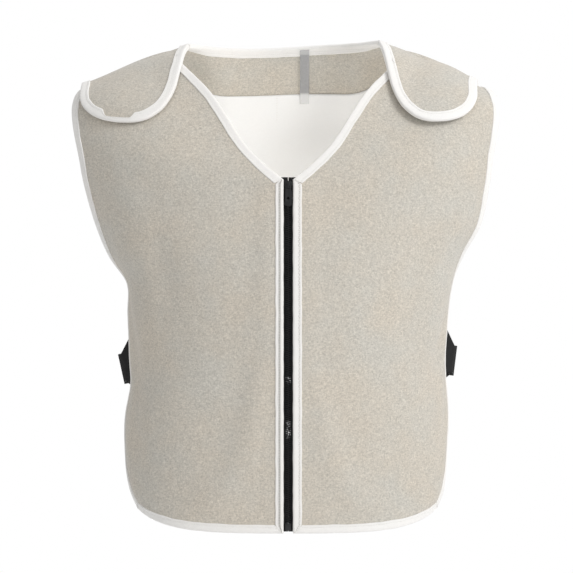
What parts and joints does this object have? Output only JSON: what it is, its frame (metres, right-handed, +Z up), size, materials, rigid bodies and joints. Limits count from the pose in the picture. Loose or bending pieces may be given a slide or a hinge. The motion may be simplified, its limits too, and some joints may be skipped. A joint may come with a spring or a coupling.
{
  "type": "cooling vest",
  "caption": "Sleeveless work vest with bound edges, a V neck, shoulder flaps, a front zip and webbing side straps, made to hold cooling cloth against the torso.",
  "frame": {"origin": "middle of the line on which the vest rests on the shoulders, at the height of the cloth's underside there", "axes": "+Z up from hem to neck, the zip faces -Y, +X to the right as seen from the front"},
  "size_m": [0.5075, 0.2403, 0.5809],
  "materials": {
    "body_cloth": "matte heather knit",
    "edge_tape": "off-white stitched tape",
    "lining_cloth": "white fine weave",
    "grey_tape": "plain grey tape",
    "zip_cloth": "black woven tape",
    "zip_teeth": "black moulded",
    "zip_metal": "black lacquer",
    "webbing": "black webbing",
    "buckle_plastic": "dark moulded"
  },
  "bodies": {
    "vest": {"back_panel": "body_cloth", "front_panel_left": "body_cloth", "front_panel_right": "body_cloth", "opening_binding_left": "edge_tape", "opening_binding_right": "edge_tape", "neck_binding_front_left": "edge_tape", "neck_binding_front_right": "edge_tape", "armhole_binding_front_left": "edge_tape", "armhole_binding_front_right": "edge_tape", "hem_binding_front_left": "edge_tape", "hem_binding_front_right": "edge_tape", "hem_binding_back": "edge_tape", "side_binding_back_left": "edge_tape", "side_binding_back_right": "edge_tape", "flap_binding_left": "edge_tape", "flap_binding_right": "edge_tape", "neck_binding_back": "edge_tape", "back_lining": "lining_cloth", "neck_tape": "grey_tape", "zip_tape_left": "zip_cloth", "zip_tape_right": "zip_cloth", "zip_chain": "zip_teeth", "zip_box": "zip_teeth", "zip_slider": "zip_metal", "side_strap_left": "webbing", "side_strap_right": "webbing", "side_buckle_left": "buckle_plastic", "side_buckle_right": "buckle_plastic"},
    "zip_pull": {"zip_pull": "zip_metal"}
  },
  "joints": [
    {"name": "pull_swing", "type": "hinge", "parent": "vest", "child": "zip_pull", "pos_m": [0, -0.11506, -0.14106], "axis": [-1, 0, 0], "range_deg": [0, 170]}
  ]
}
